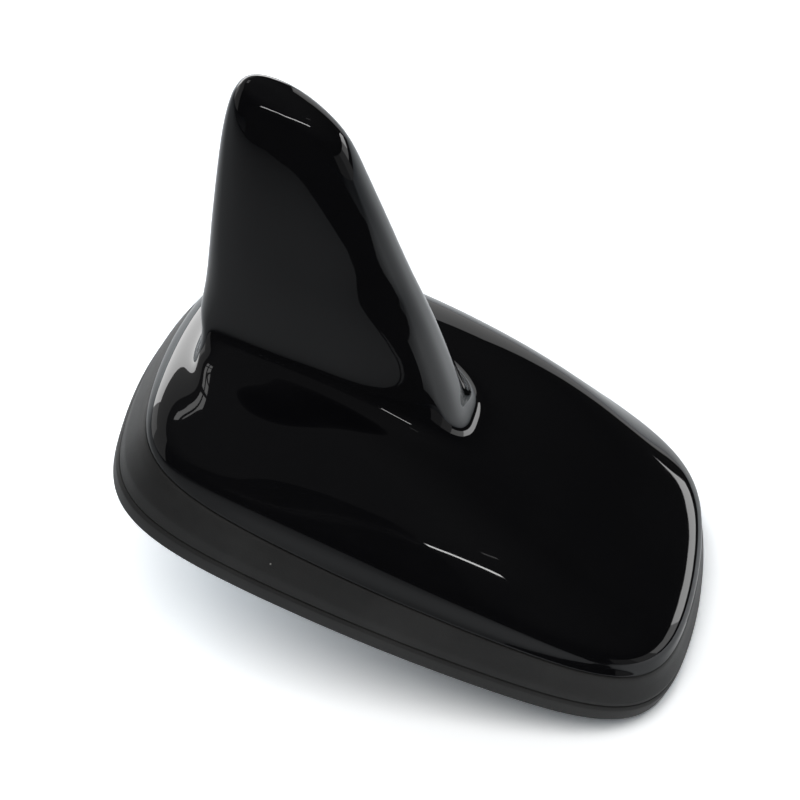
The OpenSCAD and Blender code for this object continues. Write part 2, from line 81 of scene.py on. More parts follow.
# Boss seal: its outer foot's height, then share of its width and height in mm, inward
SEAL_FOOT = 0.3 * MM
SEAL_PROFILE = ((0.13, 0), (0.3, 0), (0.4, 0.4), (0.6, 0.4), (0.7, 0), (0.87, 0), (1, 0.3))

# Stage: angles in degrees over the sheet, distances in metres
SHEET_RADIUS = 3.0
SHEET_SEEN = 1.6            # the sheet's tone to the camera, at which its unshaded part is white
SHEET_BEHIND = 1.3          # how bright the gloss shows the sheet behind the part
ROOM_RADIUS = 3.3
ROOM_LOW = 0.38             # share of the room's brightness near the horizon
HEART = 0.02                # height in the part from which the stage's directions start
LAMP_DISTANCE = 1.1
LAMPS = (                   # name, azimuth, elevation, size, watts, colour
    ("main_lamp", 0, 68, 0.9, 6.6, (1.0, 0.985, 0.965)),
    ("window_lamp", -125, 40, 0.8, 3.4, (0.86, 0.94, 1.0)),
)
FILL_COLOUR, FILL_STRENGTH = (0.86, 0.93, 1.0, 1), 0.34
CARDS = (                   # name, corners, strength, distance
    ("wall_right_near", ((57, -1), (60, 9), (80, 12), (80, -1)), 0.2, 3.0),
    ("wall_right_far", ((80, -1), (80, 12), (104, 14), (104, -1)), 0.35, 3.0),
    ("wall_right", ((104, 4), (104, 14), (128, 13), (128, 5)), 1.2, 3.0),
    ("window_right", ((128, 5), (128, 13), (141, 11), (146, 8), (146, 5)), 3.4, 3.0),
    ("wall_behind", ((150, -1), (158, 22), (166, 24), (178, 6), (178, -1)), 0.8, 3.1),
    ("wall_left", ((-178, -1), (-178, 12), (-142, 20), (-118, 16), (-118, -1)), 4.0, 3.0),
    ("wall_left_near", ((-118, -1), (-118, 14), (-98, 14), (-94, -1)), 0.9, 3.0),
    ("wall_left_dim", ((-170, -1), (-160, 34), (-110, 38), (-80, 30), (-66, -1)), 0.34, 3.1),
    ("second_strip", ((85, 46.6), (95, 44), (95, 43.4), (85, 46)), 1.2, 3.0),
)
CARD_CUTS = 7               # cuts that let a card follow its sphere
PANE_AZIMUTHS, PANE_ELEVATIONS = (-131, -122, -113), (46, 51.5)
PANE_WIDTH, PANE_HEIGHT, PANE_STRENGTH, PANE_DISTANCE = 7.0, 4, 1.8, 3.0
STRIP_PATH = ((-18, 22), (-1, 27), (18, 32.5), (34, 37), (46, 38.8), (56, 39.4), (65, 39))
STRIP_HALF, STRIP_STRENGTH, STRIP_DISTANCE = 0.5, 14.0, 2.9
SCREEN_STRENGTH = 0.04
SCREENS = (                 # name, corners in mm over the sheet
    ("strip_screen", (
        (-120, -110, 62), (-120, -110, 124), (-58, -110, 131), (0, -110, 148),
        (30, -110, 154), (66, -110, 146), (66, -110, 62))),
    ("dark_front", tuple((x, y, 0.3) for x, y in (
        (-1600, -300), (-446, -335), (-300, -385), (-220, -390), (-150, -352), (-83, -318),
        (-53, -297), (-28, -280), (-6, -265), (14, -248), (32, -232), (47, -218), (60, -209),
        (74, -208), (84, -204), (86, -190), (90, -174), (112, -158), (145, -150), (230, -165),
        (300, -238), (900, -300), (900, -1600), (-1600, -1600)))),
)


# Sizes and colours that a user would change

def size(name, description, millimetres):
    return bpy.props.FloatProperty(
        name=name, description=description, default=millimetres * MM, min=0.0,
        precision=5, unit="LENGTH", subtype="DISTANCE")


def colour(name, description, default):
    return bpy.props.FloatVectorProperty(
        name=name, description=description, default=default, min=0.0, max=1.0,
        size=3, subtype="COLOR")


def cad_span(node, axis):
    low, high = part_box(node)
    return (high[axis] - low[axis]) / MM


class AntennaSizes(bpy.types.PropertyGroup):
    length: size("Length", "Length over the rubber skirt", cad_span("gasket", 0))
    width: size("Width", "Width over the rubber skirt", cad_span("gasket", 1))
    height: size("Height", "Height of the fin tip above the roof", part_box("cover")[1].z / MM)
    corner: bpy.props.FloatProperty(
        name="Corner fullness", description="Superellipse exponent of the base in plan",
        default=4.7, min=2.0, max=8.0)
    wall: size("Cover wall", "Wall of the moulded cover", 2.4)
    seam_height: size("Seam height", "Height of the seam at mid-length", 9.7)
    seam_drop: size("Seam drop", "How much higher the seam is at the rear end", 3.9)
    seam_gap: size("Seam gap", "Gap between cover and skirt", 0.2)
    seam_in: size("Seam inset", "How far the seam stands in from the lip", 2.4)
    nose_in: size("Nose inset", "How much further in the seam stands at the front", 0.2)
    tail_in: size("Tail inset", "How much further in the seam stands at the rear", 0.6)
    dome_rise: size("Dome rise", "Rise of the dome above the seam at the fin's root", 12.5)
    root_height: size("Root height", "Height at which the fin's flanks leave the fillet", 26.4)
    fin_thickness: size("Fin thickness", "Thickness of the fin above its fillet", 19.0)
    post_x: size("Post place", "Distance of the screw posts from mid-length", 35.3)
    post_y: size("Post side", "Distance of the screw posts from the middle plane", 11.0)
    post_width: size("Post width", "Diameter of the screw posts", 6.0)
    post_foot: size("Post foot", "Height at which the posts stand on the base plate", 3.6)
    post_bore: size("Post bore", "Diameter of the screw holes in the posts", 2.9)
    post_bore_top: size("Bore top", "Height at which the screw holes end", 10.3)
    post_front: size("Front post top", "Height at which the front posts meet the wall", 12.68)
    post_rear: size("Rear post top", "Height at which the rear posts meet the wall", 22.87)
    lip_height: size("Lip height", "Height of the skirt's lip below the crease", 3.4)
    crease_in: size("Crease inset", "How far the crease stands in from the lip", 0.3)
    crease_deep: size("Crease depth", "Depth of the crease line over the lip", 0.35)
    ledge: size("Ledge", "Width of the skirt's top face under the cover's rim", 4.2)
    flange_thickness: size("Flange thickness", "Thickness of the flange on the roof", 1.2)
    flange_width: size("Flange width", "Width of that flange", 7.0)
    groove_width: size("Groove width", "Width of the sealing grooves under the skirt", 1.6)
    groove_depth: size("Groove depth", "Depth of those grooves", 0.5)
    boss_length: size("Boss length", "Length of the boss that goes through the roof", 38.0)
    boss_width: size("Boss width", "Width of that boss", 17.0)
    boss_drop: size("Boss drop", "How far the boss reaches below the roof skin", 8.0)
    seal_width: size("Seal width", "Width of the seal round the boss", 3.7)
    seal_gap: size("Seal gap", "Gap between the boss and its seal", 0.3)
    seal_radius: size("Seal radius", "Outer corner radius of the boss seal", 7.0)
    thread_core: size("Thread core", "Core diameter of the fixing thread", 5.0)
    thread_pitch: size("Thread pitch", "Pitch of the fixing thread", 1.0)
    thread_depth: size("Thread depth", "Depth of the fixing thread", 12.0)


class AntennaColours(bpy.types.PropertyGroup):
    cover: colour("Cover", "Gloss black of the cover", (0.0015, 0.0015, 0.002))
    dust: colour("Dust", "Dust that settles on the black parts", (0.32, 0.31, 0.29))
    rubber: colour("Rubber", "Matte grey of the skirt", (0.0145, 0.014, 0.0135))
    seal: colour("Seal", "Rubber of the boss seal", (0.018, 0.018, 0.018))
    casting: colour("Casting", "Die-cast base plate", (0.46, 0.47, 0.48))
    spring: colour("Spring steel", "Retaining clips", (0.56, 0.56, 0.57))
    housing: colour("Connector housing", "Connector bodies", (0.70, 0.63, 0.44))
    contact: colour("Contact", "Flashed contacts and springs", (0.76, 0.57, 0.25))
    board: colour("Board", "Solder mask of the circuit boards", (0.015, 0.13, 0.055))
    copper: colour("Copper", "Bare copper track and winding", (0.62, 0.28, 0.13))


class AntennaStage(bpy.types.PropertyGroup):
    tilt: bpy.props.FloatProperty(
        name="Nose-down tilt", description="Slope of the white sheet under the part",
        default=math.radians(18.5), unit="ROTATION", subtype="ANGLE")
    azimuth: bpy.props.FloatProperty(
        name="Azimuth", description="Camera's turn round the part",
        default=math.radians(-2.682), unit="ROTATION", subtype="ANGLE")
    elevation: bpy.props.FloatProperty(
        name="Elevation", description="Camera's height angle over the roof plane",
        default=math.radians(41.397), unit="ROTATION", subtype="ANGLE")
    roll: bpy.props.FloatProperty(
        name="Roll", description="Camera's roll against the part's upright",
        default=math.radians(24.172), unit="ROTATION", subtype="ANGLE")
    place: bpy.props.FloatVectorProperty(
        name="Camera place", description="Camera's place in the part's frame",
        default=(-0.021491, -0.242903, 0.234420), size=3, unit="LENGTH",
        subtype="TRANSLATION")
    lens: bpy.props.FloatProperty(
        name="Lens", description="Focal length in millimetres", default=85.61, min=10.0)
    sheet: colour("Sheet", "White sheet under the part", (0.90, 0.90, 0.90))
    mirrored: bpy.props.FloatProperty(
        name="Mirrored sheet", description="Brightness of the near sheet in the gloss",
        default=0.38, min=0.0)
    room: bpy.props.FloatProperty(
        name="Room", description="Brightness of the dim room over the part, in the gloss",
        default=0.09, min=0.0)


def sizes():
    return bpy.context.scene.antenna_sizes


def colours():
    return bpy.context.scene.antenna_colours


# Loft rings of the cover and the skirt

class Ring:
    """One level of a loft: how far it reaches, how full its corners are, and its heights."""

    def __init__(self, rear, front, side, fullness, narrowing, z_rear, z_mid, z_front):
        self.values = np.array(
            [rear, front, side, fullness, narrowing, z_rear, z_mid, z_front], float)

    def point(self, turn):
        """The ring's point at a turn from 0 to 1, started at the front."""
        rear, front, side, n, narrowing, z_rear, z_mid, z_front = self.values
        angle = math.tau * turn
        angle += math.radians(CORNER_SPREAD * (n - CORNER_START)) * math.sin(4 * angle)
        c, s = math.cos(angle), math.sin(angle)
        reach = (abs(c) ** n + abs(s) ** n) ** (-1 / n)
        reach *= 1 + max(0.0, CORNER_EASE * (n - EASE_START)) * (math.cos(4 * angle) - 1)
        u = reach * c
        return Vector((
            (rear + front) / 2 + (front - rear) / 2 * u,
            side * reach * s * (1 - narrowing * u),
            z_mid + (z_front - z_rear) / 2 * u + ((z_front + z_rear) / 2 - z_mid) * u * u))


def plan_ring(inset, height, slope=0.0):
    """Outline of the base drawn in by an inset, at a level that may slope to the front."""
    s = sizes()
    share = min(1.0, inset / s.seam_in)
    rear = inset - s.length / 2 + s.tail_in * share
    front = s.length / 2 - inset - s.nose_in * share
    return Ring(rear, front, s.width / 2 - inset, s.corner, 0.0,
                height - slope * rear, height - slope * (rear + front) / 2,
                height - slope * front)


def seam_slope():
    return sizes().seam_drop / sizes().length


def seam_level(x):
    return sizes().seam_height - seam_slope() * x


def dome_ring(rear, front, side, fullness, narrowing, up_rear, up_mid, up_front):
    """A dome level, in shares of the half length, the half width and the dome's rise."""
    s = sizes()
    half = s.length / 2
    return Ring(-rear * half, front * half, side * s.width / 2, fullness, narrowing,
                seam_level(-half) + up_rear * s.dome_rise, s.seam_height + up_mid * s.dome_rise,
                seam_level(half) + up_front * s.dome_rise)


def fin_ring(rear, front, side, fullness, narrowing, up):
    """A fin level, in shares of the half length, the fin's thickness and its height."""
    s = sizes()
    half = s.length / 2
    z = s.root_height + up * (s.height - s.root_height)
    return Ring(-rear * half, front * half, side * s.fin_thickness / 2, fullness, narrowing,
                z, z, z)


def cover_stations():
    """The cover's levels, from its rim up over the dome and the fin to the tip."""
    s = sizes()
    return [
        plan_ring(s.seam_in, s.seam_height + s.seam_gap, seam_slope()),
        dome_ring(0.943, 0.944, 0.920, 4.4, 0.015, 0.115, 0.165, 0.10),
        dome_ring(0.917, 0.925, 0.900, 4.0, 0.03, 0.32, 0.39, 0.19),
        dome_ring(0.877, 0.850, 0.840, 3.5, 0.04, 0.49, 0.64, 0.30),
        dome_ring(0.851, 0.727, 0.739, 3.2, 0.04, 0.61, 0.94, 0.44),
        dome_ring(0.848, 0.530, 0.583, 3.2, 0.03, 0.70, 1.12, 0.665),
        dome_ring(0.855, 0.270, 0.440, 3.1, 0.02, 0.77, 1.19, 0.925),
        dome_ring(0.869, 0.070, 0.335, 3.1, 0, 0.91, 1.24, 1.12),
        dome_ring(0.888, -0.008, 0.271, 3.1, 0, 1.10, 1.35, 1.40),
        fin_ring(0.900, -0.088, 0.95, 2.9, 0.04, 0.10),
        fin_ring(0.925, -0.198, 0.87, 2.75, 0.075, 0.27),
        fin_ring(0.950, -0.312, 0.79, 2.6, 0.10, 0.43),
        fin_ring(0.974, -0.428, 0.72, 2.5, 0.08, 0.60),
        fin_ring(0.993, -0.535, 0.64, 2.4, 0.05, 0.755),
        fin_ring(0.999, -0.609, 0.56, 2.3, 0.03, 0.86),
        fin_ring(0.995, -0.679, 0.47, 2.2, 0, 0.925),
        fin_ring(0.977, -0.770, 0.33, 2.1, 0, 0.975),
        fin_ring(0.945, -0.850, 0.15, 2, 0, 0.997),
        fin_ring(0.920, -0.891, 0.04, 2, 0, 1),
    ]


def fair(stations, spans):
    """Rings between the stations, on the smoothest curve through each of their values."""
    given = np.array([s.values for s in stations])
    count = len(given)
    bend = np.eye(count)
    pull = np.zeros_like(given)
    for k in range(1, count - 1):
        bend[k, k - 1:k + 2] = (1, 4, 1)
        pull[k] = 6 * (given[k - 1] - 2 * given[k] + given[k + 1])
    curve = np.linalg.solve(bend, pull)
    rings = []
    for k in range(count - 1):
        for step in range(spans):
            t = step / spans
            rings.append(Ring(*(
                (1 - t) * given[k] + t * given[k + 1]
                + ((1 - t) ** 3 - (1 - t)) / 6 * curve[k]
                + (t ** 3 - t) / 6 * curve[k + 1])))
    return rings + [stations[-1]]


def add_loop(bm, points):
    """A closed loop of edges through the points: a circle whose vertices are moved there."""
    made = bmesh.ops.create_circle(bm, cap_ends=False, segments=len(points), radius=1.0)
    for vert, point in zip(made["verts"], points):
        vert.co = point
    return made["verts"]


def loop_edges(verts):
    """The edges that run along a loop of vertices."""
    ring = set(verts)
    return [e for e in {e for v in verts for e in v.link_edges}
            if e.verts[0] in ring and e.verts[1] in ring]


def bridge(bm, lower, upper):
    """Joins two loops vertex by vertex: one is extruded and welded to the other."""
    made = bmesh.ops.extrude_edge_only(bm, edges=loop_edges(lower))["geom"]
    fresh = {v for v in made if isinstance(v, bmesh.types.BMVert)}
    welds = {}
    for vert, aim in zip(lower, upper):
        copy = next(e.other_vert(vert) for e in vert.link_edges if e.other_vert(vert) in fresh)
        copy.co = aim.co
        welds[copy] = aim
    bmesh.ops.weld_verts(bm, targetmap=welds)


def ring_loop(bm, ring, count=RING):
    return add_loop(bm, [ring.point(i / count) for i in range(count)])


def cap(bm, loop):
    """Closes a small loop with a fan of faces round its middle."""
    face = bmesh.ops.contextual_create(bm, geom=loop_edges(loop))["faces"]
    bmesh.ops.poke(bm, faces=face)


def soften(bm, edges, width, segments=3):
    """Rounds the edges."""
    bmesh.ops.bevel(bm, geom=edges, offset=width, offset_type="OFFSET", segments=segments,
                    profile=0.5, affect="EDGES", material=-1)


def new_object(bm, name, material):
    """Turns a bmesh into an object of one material."""
    mesh = bpy.data.meshes.new(name)
    bm.to_mesh(mesh)
    bm.free()
    made = bpy.data.objects.new(name, mesh)
    bpy.context.scene.collection.objects.link(made)
    mesh.materials.append(material)
    return made


def finish_piece(bm, name, material, levels=0, replaces=()):
    """Turns a bmesh into a shown piece on the root body."""
    bmesh.ops.remove_doubles(bm, verts=bm.verts, dist=MERGE)
    bmesh.ops.recalc_face_normals(bm, faces=bm.faces)
    for face in bm.faces:
        face.smooth = True
    piece = new_object(bm, name, material)
    if levels:
        smooth = piece.modifiers.new("Smooth form", "SUBSURF")
        smooth.levels = smooth.render_levels = levels
    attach(piece, "root")
    if replaces:
        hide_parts(*replaces)
    return piece


# Shader nodes

def feed(tree, socket, value):
    """Links a socket to another node's output, or sets its value."""
    if isinstance(value, bpy.types.NodeSocket):
        tree.links.new(value, socket)
    else:
        socket.default_value = value


def add_node(tree, kind, settings=None, **inputs):
    """A shader node with its settings made and its inputs set or linked."""
    made = tree.nodes.new("ShaderNode" + kind)
    for key, value in (settings or {}).items():
        setattr(made, key, value)
    for key, value in inputs.items():
        feed(tree, made.inputs[key.replace("_", " ")], value)
    return made


def maths(tree, operation, *values):
    made = add_node(tree, "Math", {"operation": operation})
    for socket, value in zip(made.inputs, values):
        feed(tree, socket, value)
    return made.outputs[0]


def between(tree, value, low, high, to_low=0.0, to_high=1.0):
    """Maps a value from one range to another, held within it."""
    made = add_node(tree, "MapRange", Value=value, From_Min=low, From_Max=high,
                    To_Min=to_low, To_Max=to_high)
    return made.outputs["Result"]


def mix_colour(tree, factor, first, second):
    made = add_node(tree, "Mix", {"data_type": "RGBA"})
    for index, value in ((0, factor), (6, first), (7, second)):  # the sockets for colours
        feed(tree, made.inputs[index], value)
    return made.outputs[2]


def rgba(colour_value):
    return (*colour_value, 1.0)


def start_group(name, inputs, outputs):
    """An empty shader group with named sockets; returns the group, its inputs and its end node."""
    group = bpy.data.node_groups.new(name, "ShaderNodeTree")
    for label, kind, default in inputs:
        socket = group.interface.new_socket(name=label, in_out="INPUT", socket_type=kind)
        if default is not None:
            socket.default_value = default
    for label, kind in outputs:
        group.interface.new_socket(name=label, in_out="OUTPUT", socket_type=kind)
    start = group.nodes.new("NodeGroupInput")
    end = group.nodes.new("NodeGroupOutput")
    return group, start.outputs, end


FLOAT, VECTOR, COLOUR = "NodeSocketFloat", "NodeSocketVector", "NodeSocketColor"


def grain_group():
    """Moulded or cast grain: an uneven roughness and a height, at a given grain size."""
    name = "Surface grain"
    if name in bpy.data.node_groups:
        return bpy.data.node_groups[name]
    group, given, end = start_group(
        name,
        [("Position", VECTOR, None), ("Grains per metre", FLOAT, 2500.0),
         ("Patches per metre", FLOAT, 60.0), ("Smoothest", FLOAT, 0.4),
         ("Roughest", FLOAT, 0.6)],
        [("Roughness", FLOAT), ("Height", FLOAT), ("Patches", FLOAT)])
    fine = add_node(group, "TexNoise", Vector=given["Position"],
                    Scale=given["Grains per metre"], Detail=3.0, Roughness=0.6)
    wide = add_node(group, "TexNoise", Vector=given["Position"],
                    Scale=given["Patches per metre"], Detail=4.0, Roughness=0.55)
    both = maths(group, "ADD", maths(group, "MULTIPLY", fine.outputs[0], 0.35),
                 maths(group, "MULTIPLY", wide.outputs[0], 0.65))
    spread = between(group, both, 0.35, 0.65)
    rough = add_node(group, "MapRange", Value=spread, From_Min=0.0, From_Max=1.0,
                     To_Min=given["Smoothest"], To_Max=given["Roughest"])
    group.links.new(rough.outputs["Result"], end.inputs["Roughness"])
    group.links.new(fine.outputs[0], end.inputs["Height"])
    group.links.new(wide.outputs[0], end.inputs["Patches"])
    return group


def dust_group():
    """Dust: scattered specks and a faint film, laid over a surface's colour and roughness."""
    name = "Settled dust"
    if name in bpy.data.node_groups:
        return bpy.data.node_groups[name]
    group, given, end = start_group(
        name,
        [("Position", VECTOR, None), ("Surface colour", COLOUR, (0.01, 0.01, 0.01, 1)),
         ("Dust colour", COLOUR, (0.3, 0.3, 0.28, 1)), ("Surface roughness", FLOAT, 0.1),
         ("Specks per metre", FLOAT, 260.0), ("Share of specks", FLOAT, 0.05),
         ("Speck size", FLOAT, 0.05), ("Film", FLOAT, 0.01)],
        [("Colour", COLOUR), ("Roughness", FLOAT)])
    cells = add_node(group, "TexVoronoi", {"feature": "F1"}, Vector=given["Position"],
                     Scale=given["Specks per metre"], Randomness=1.0)
    pick = add_node(group, "SeparateColor", Color=cells.outputs["Color"])
    chosen = maths(group, "LESS_THAN", pick.outputs[0], given["Share of specks"])
    radius = maths(group, "MULTIPLY", given["Speck size"],
                   maths(group, "ADD", pick.outputs[1], 0.4))
    speck = maths(group, "MULTIPLY", chosen,
                  maths(group, "LESS_THAN", cells.outputs["Distance"], radius))
    haze = add_node(group, "TexNoise", Vector=given["Position"], Scale=45.0, Detail=5.0,
                    Roughness=0.65)
    film = maths(group, "MULTIPLY", between(group, haze.outputs[0], 0.45, 0.75), given["Film"])
    cover = maths(group, "MAXIMUM", maths(group, "MULTIPLY", speck, 0.75), film)
    group.links.new(mix_colour(group, cover, given["Surface colour"], given["Dust colour"]),
                    end.inputs["Colour"])
    rough = maths(group, "ADD", given["Surface roughness"],
                  maths(group, "MULTIPLY", cover, 0.5))
    group.links.new(rough, end.inputs["Roughness"])
    return group


def group_node(tree, group, **inputs):
    return add_node(tree, "Group", {"node_tree": group}, **inputs).outputs


def start_material(name, **plain):
    """A material with its Principled shader; plain values go straight to the shader's sockets."""
    material = bpy.data.materials.new(name)
    material.use_nodes = True
    tree = material.node_tree
    shader = tree.nodes["Principled BSDF"]
    for key, value in plain.items():
        shader.inputs[key.replace("_", " ")].default_value = value
    place = tree.nodes.new("ShaderNodeTexCoord").outputs["Object"]
    return material, tree, shader, place


def bump(tree, shader, height, depth, strength=1.0):
    made = add_node(tree, "Bump", Height=height, Distance=depth, Strength=strength)
    tree.links.new(made.outputs["Normal"], shader.inputs["Normal"])


def gloss_black():
    """High-gloss black lacquer with a faint orange peel and a little dust."""
    material, tree, shader, place = start_material("cover gloss black", IOR=1.5)
    grain = group_node(tree, grain_group(), Position=place, Grains_per_metre=900.0,
                       Patches_per_metre=55.0, Smoothest=0.02, Roughest=0.04)
    dust = group_node(tree, dust_group(), Position=place, Surface_colour=rgba(colours().cover),
                      Dust_colour=rgba(colours().dust), Surface_roughness=grain["Roughness"],
                      Specks_per_metre=230.0, Share_of_specks=0.035, Speck_size=0.045,
                      Film=0.002)
    tree.links.new(dust["Colour"], shader.inputs["Base Color"])
    tree.links.new(dust["Roughness"], shader.inputs["Roughness"])
    peel = add_node(tree, "TexNoise", Vector=place, Scale=160.0, Detail=1.0)
    bump(tree, shader, peel.outputs[0], 0.00004, 0.35)
    return material


def moulded(name, tint, smoothest, roughest, grains, depth, specks=0.0, contrast=0.12, bloom=0.0):
    """Moulded rubber or plastic: grainy, slightly mottled, dusty where specks are asked for."""
    material, tree, shader, place = start_material(name, Sheen_Weight=bloom, Sheen_Roughness=0.4)
    grain = group_node(tree, grain_group(), Position=place, Grains_per_metre=grains,
                       Patches_per_metre=70.0, Smoothest=smoothest, Roughest=roughest)
    darker = rgba([c * (1 - contrast) for c in tint])
    lighter = rgba([min(1.0, c * (1 + contrast)) for c in tint])
    tone = mix_colour(tree, between(tree, grain["Patches"], 0.3, 0.7), darker, lighter)
    rough = grain["Roughness"]
    if specks:
        dust = group_node(tree, dust_group(), Position=place, Surface_colour=tone,
                          Dust_colour=rgba(colours().dust), Surface_roughness=rough,
                          Specks_per_metre=300.0, Share_of_specks=specks, Speck_size=0.05,
                          Film=0.03)
        tone, rough = dust["Colour"], dust["Roughness"]
    tree.links.new(tone, shader.inputs["Base Color"])
    tree.links.new(rough, shader.inputs["Roughness"])
    bump(tree, shader, grain["Height"], depth)
    return material


def metal(name, tint, smoothest, roughest, grains, depth, stretch=(1, 1, 1), tarnish=0.15):
    """Bare or plated metal: grain that can be drawn out along a rolling direction, and tarnish."""
    material, tree, shader, place = start_material(name, Metallic=1.0)
    drawn = add_node(tree, "Mapping", Vector=place, Scale=stretch)
    grain = group_node(tree, grain_group(), Position=drawn.outputs[0], Grains_per_metre=grains,
                       Patches_per_metre=90.0, Smoothest=smoothest, Roughest=roughest)
    dull = rgba([c * (1 - tarnish) for c in tint])
    tone = mix_colour(tree, between(tree, grain["Patches"], 0.35, 0.7), dull, rgba(tint))
    tree.links.new(tone, shader.inputs["Base Color"])
    tree.links.new(grain["Roughness"], shader.inputs["Roughness"])
    bump(tree, shader, grain["Height"], depth)
    return material


def dress(material, *nodes):
    """Gives CAD nodes their finish."""
    for name in nodes:
        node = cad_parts[name]
        if not node.material_slots:
            raise ValueError(f"{name} has no material slot")
        for slot in node.material_slots:
            slot.material = material


# Operators

class ANTENNA_OT_cover(bpy.types.Operator):
    """Lofts the hollow cover with its fin and gives it a gloss black finish"""
    bl_idname = "antenna.cover"
    bl_label = "Cover"

    def execute(self, context):
        s = sizes()
        bm = bmesh.new()
        rings = fair(cover_stations(), SPANS)
        outer = [ring_loop(bm, ring) for ring in rings]
        for lower, upper in zip(outer, outer[1:]):
            bridge(bm, lower, upper)
        cap(bm, outer[-1])
        bmesh.ops.recalc_face_normals(bm, faces=bm.faces)
        bm.normal_update()
        if outer[0][0].normal.dot(outer[0][0].co - Vector((0, 0, s.seam_height))) < 0:
            bmesh.ops.reverse_faces(bm, faces=bm.faces)
            bm.normal_update()
        inner = []
        for k, loop in enumerate(outer[:HOLLOW_STATIONS * SPANS + 1]):
            floor = s.seam_gap + k * HOLLOW_STEP
            points = []
            for vert in loop:
                way = vert.normal
                if k == 0:
                    way = Vector((way.x, way.y, 0)).normalized()
                point = vert.co - s.wall * way
                point.z = max(point.z, seam_level(point.x) + floor)
                points.append(point)
            inner.append(add_loop(bm, points))
        for lower, upper in zip(inner, inner[1:]):
            bridge(bm, lower, upper)
        cap(bm, inner[-1])
        rim = loop_edges(outer[0])
        bridge(bm, outer[0], inner[0])
        soften(bm, rim, RIM_ROUNDING)
        gloss = gloss_black()
        finish_piece(bm, "cover_shell", gloss, 1, ["cover"])
        bm = bmesh.new()
        for side in (-1, 1):
            self.post(bm, s.post_x, side * s.post_y, s.post_front)
            self.post(bm, -s.post_x, side * s.post_y, s.post_rear)
        finish_piece(bm, "cover_posts", gloss)
        return {"FINISHED"}

    def post(self, bm, x, y, top):
        """Spins one screw post with its blind hole."""
        s = sizes()
        bore, edge = s.post_bore / 2, s.post_width / 2
        profile = [(0, s.post_bore_top), (bore, s.post_bore_top), (bore, s.post_foot),
                   (edge, s.post_foot), (edge, top), (0, top)]
        loop = add_loop(bm, [(x + r, y, z) for r, z in profile])
        axis = [e for e in loop_edges(loop) if all(v.co.x - x < MERGE for v in e.verts)]
        bmesh.ops.delete(bm, geom=axis, context="EDGES")
        bmesh.ops.spin(bm, geom=loop + loop_edges(loop), cent=(x, y, 0), axis=(0, 0, 1),
                       angle=math.tau, steps=POST_STEPS, use_merge=True)


class ANTENNA_OT_skirt(bpy.types.Operator):
    """Lofts the rubber skirt with its lip, crease, ledge, flange and sealing grooves"""
    bl_idname = "antenna.skirt"
    bl_label = "Rubber skirt"

    def execute(self, context):
        s = sizes()
        slope = seam_slope()
        inner_in = s.seam_in + s.ledge
        flange_in = inner_in + s.flange_width
        lip, crease, carved = s.lip_height / MM, s.crease_in / MM, s.crease_deep / MM
        seam_in, seam = s.seam_in / MM, s.seam_height / MM
        # Inset and height in mm, share of the seam's slope, and rounding in mm: up the outside,
        # over the ledge, down the inside, and back outward under the flange
        levels = [
            (0.5, 0, 0, 0.12), (0, 0.5, 0, 0.12), (0, lip - 0.5, 0, 0.15), (crease, lip, 0, 0.06),
            (crease + carved, lip + 0.05, 0, 0), (crease + carved, lip + 0.2, 0, 0),
            (crease + 0.05, lip + 0.3, 0, 0.06),
            (crease + 0.15, lip + 1.0, 0.1, 0.12), (crease + 0.3, seam * 0.56, 0.5, 0.4),
            (seam_in - 0.8, seam - 1.6, 1, 0.5), (seam_in - 0.25, seam - 0.35, 1, 0.1),
            (seam_in, seam, 1, 0.1), (inner_in / MM, seam, 1, 0.3),
            (inner_in / MM, s.flange_thickness / MM, 0, 0.2),
            (flange_in / MM, s.flange_thickness / MM, 0, 0.2), (flange_in / MM, 0, 0, 0.2),
        ]
        for middle in ((inner_in + flange_in) / 2, inner_in * 0.6):
            for side, deep in ((0.5, 0), (0.5, 1), (-0.5, 1), (-0.5, 0)):
                inset = middle + side * (s.groove_width - 0.6 * MM * deep)
                levels.append((inset / MM, s.groove_depth / MM * deep, 0, 0.08))
        bm = bmesh.new()
        loops = [ring_loop(bm, plan_ring(inset * MM, z * MM, slope * share))
                 for inset, z, share, _ in levels]
        for lower, upper in zip(loops, loops[1:] + loops[:1]):
            bridge(bm, lower, upper)
        edges = [(loop_edges(loop), rounding) for loop, (*_, rounding) in zip(loops, levels)]
        for ring, rounding in edges:
            if rounding:
                soften(bm, [e for e in ring if e.is_valid], rounding * MM, 2)
        rubber = moulded("skirt rubber", colours().rubber, 0.5, 0.62, 3200.0, 0.00003, specks=0.03,
                         bloom=0.12)
        finish_piece(bm, "rubber_skirt", rubber, 1, ["gasket"])
        return {"FINISHED"}


